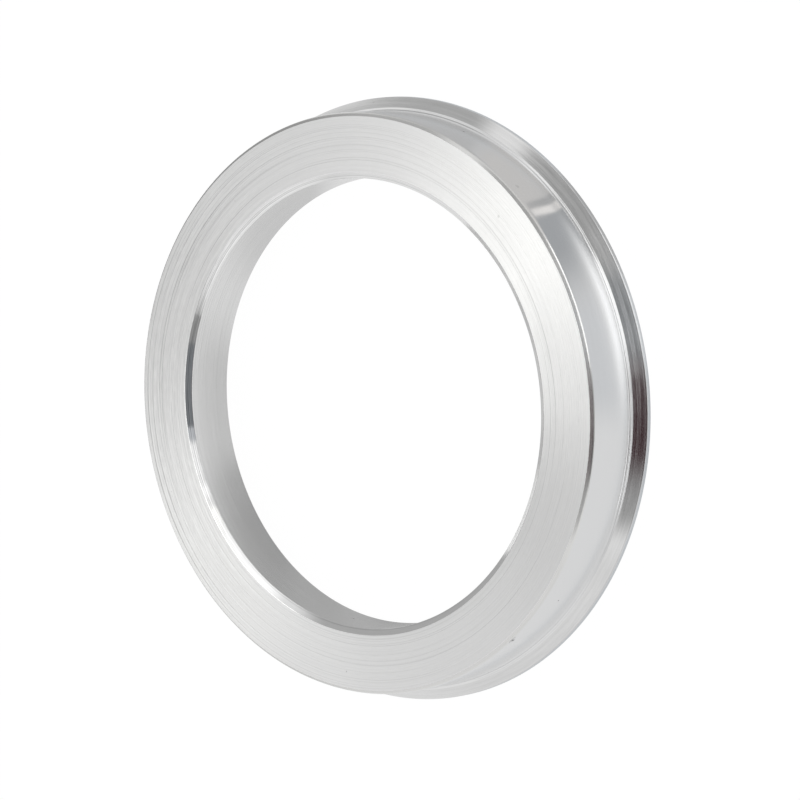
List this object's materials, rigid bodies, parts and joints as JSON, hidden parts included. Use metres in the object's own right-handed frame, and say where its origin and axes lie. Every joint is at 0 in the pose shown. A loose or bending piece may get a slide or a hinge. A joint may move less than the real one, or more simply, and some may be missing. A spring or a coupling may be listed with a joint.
{
  "type": "hub centric ring",
  "caption": "Flanged hub centric ring: a turned spigot for a wheel's centre bore, a thin tapered stop flange behind it and a bore that slides over the hub boss.",
  "frame": {"origin": "on the axis, in the rear face of the flange, on which the ring lies", "axes": "+Z along the axis, from the flange towards the front face of the spigot; the ring is round, so +X and +Y are free"},
  "size_m": [0.0764, 0.0764, 0.0096],
  "materials": {
    "turned_aluminium": "bare aluminium as turned: fine concentric tool marks on the front face and rim, polished spigot wall and chamfers"
  },
  "bodies": {
    "root": {"hub_centric_ring": "turned_aluminium"}
  },
  "joints": []
}
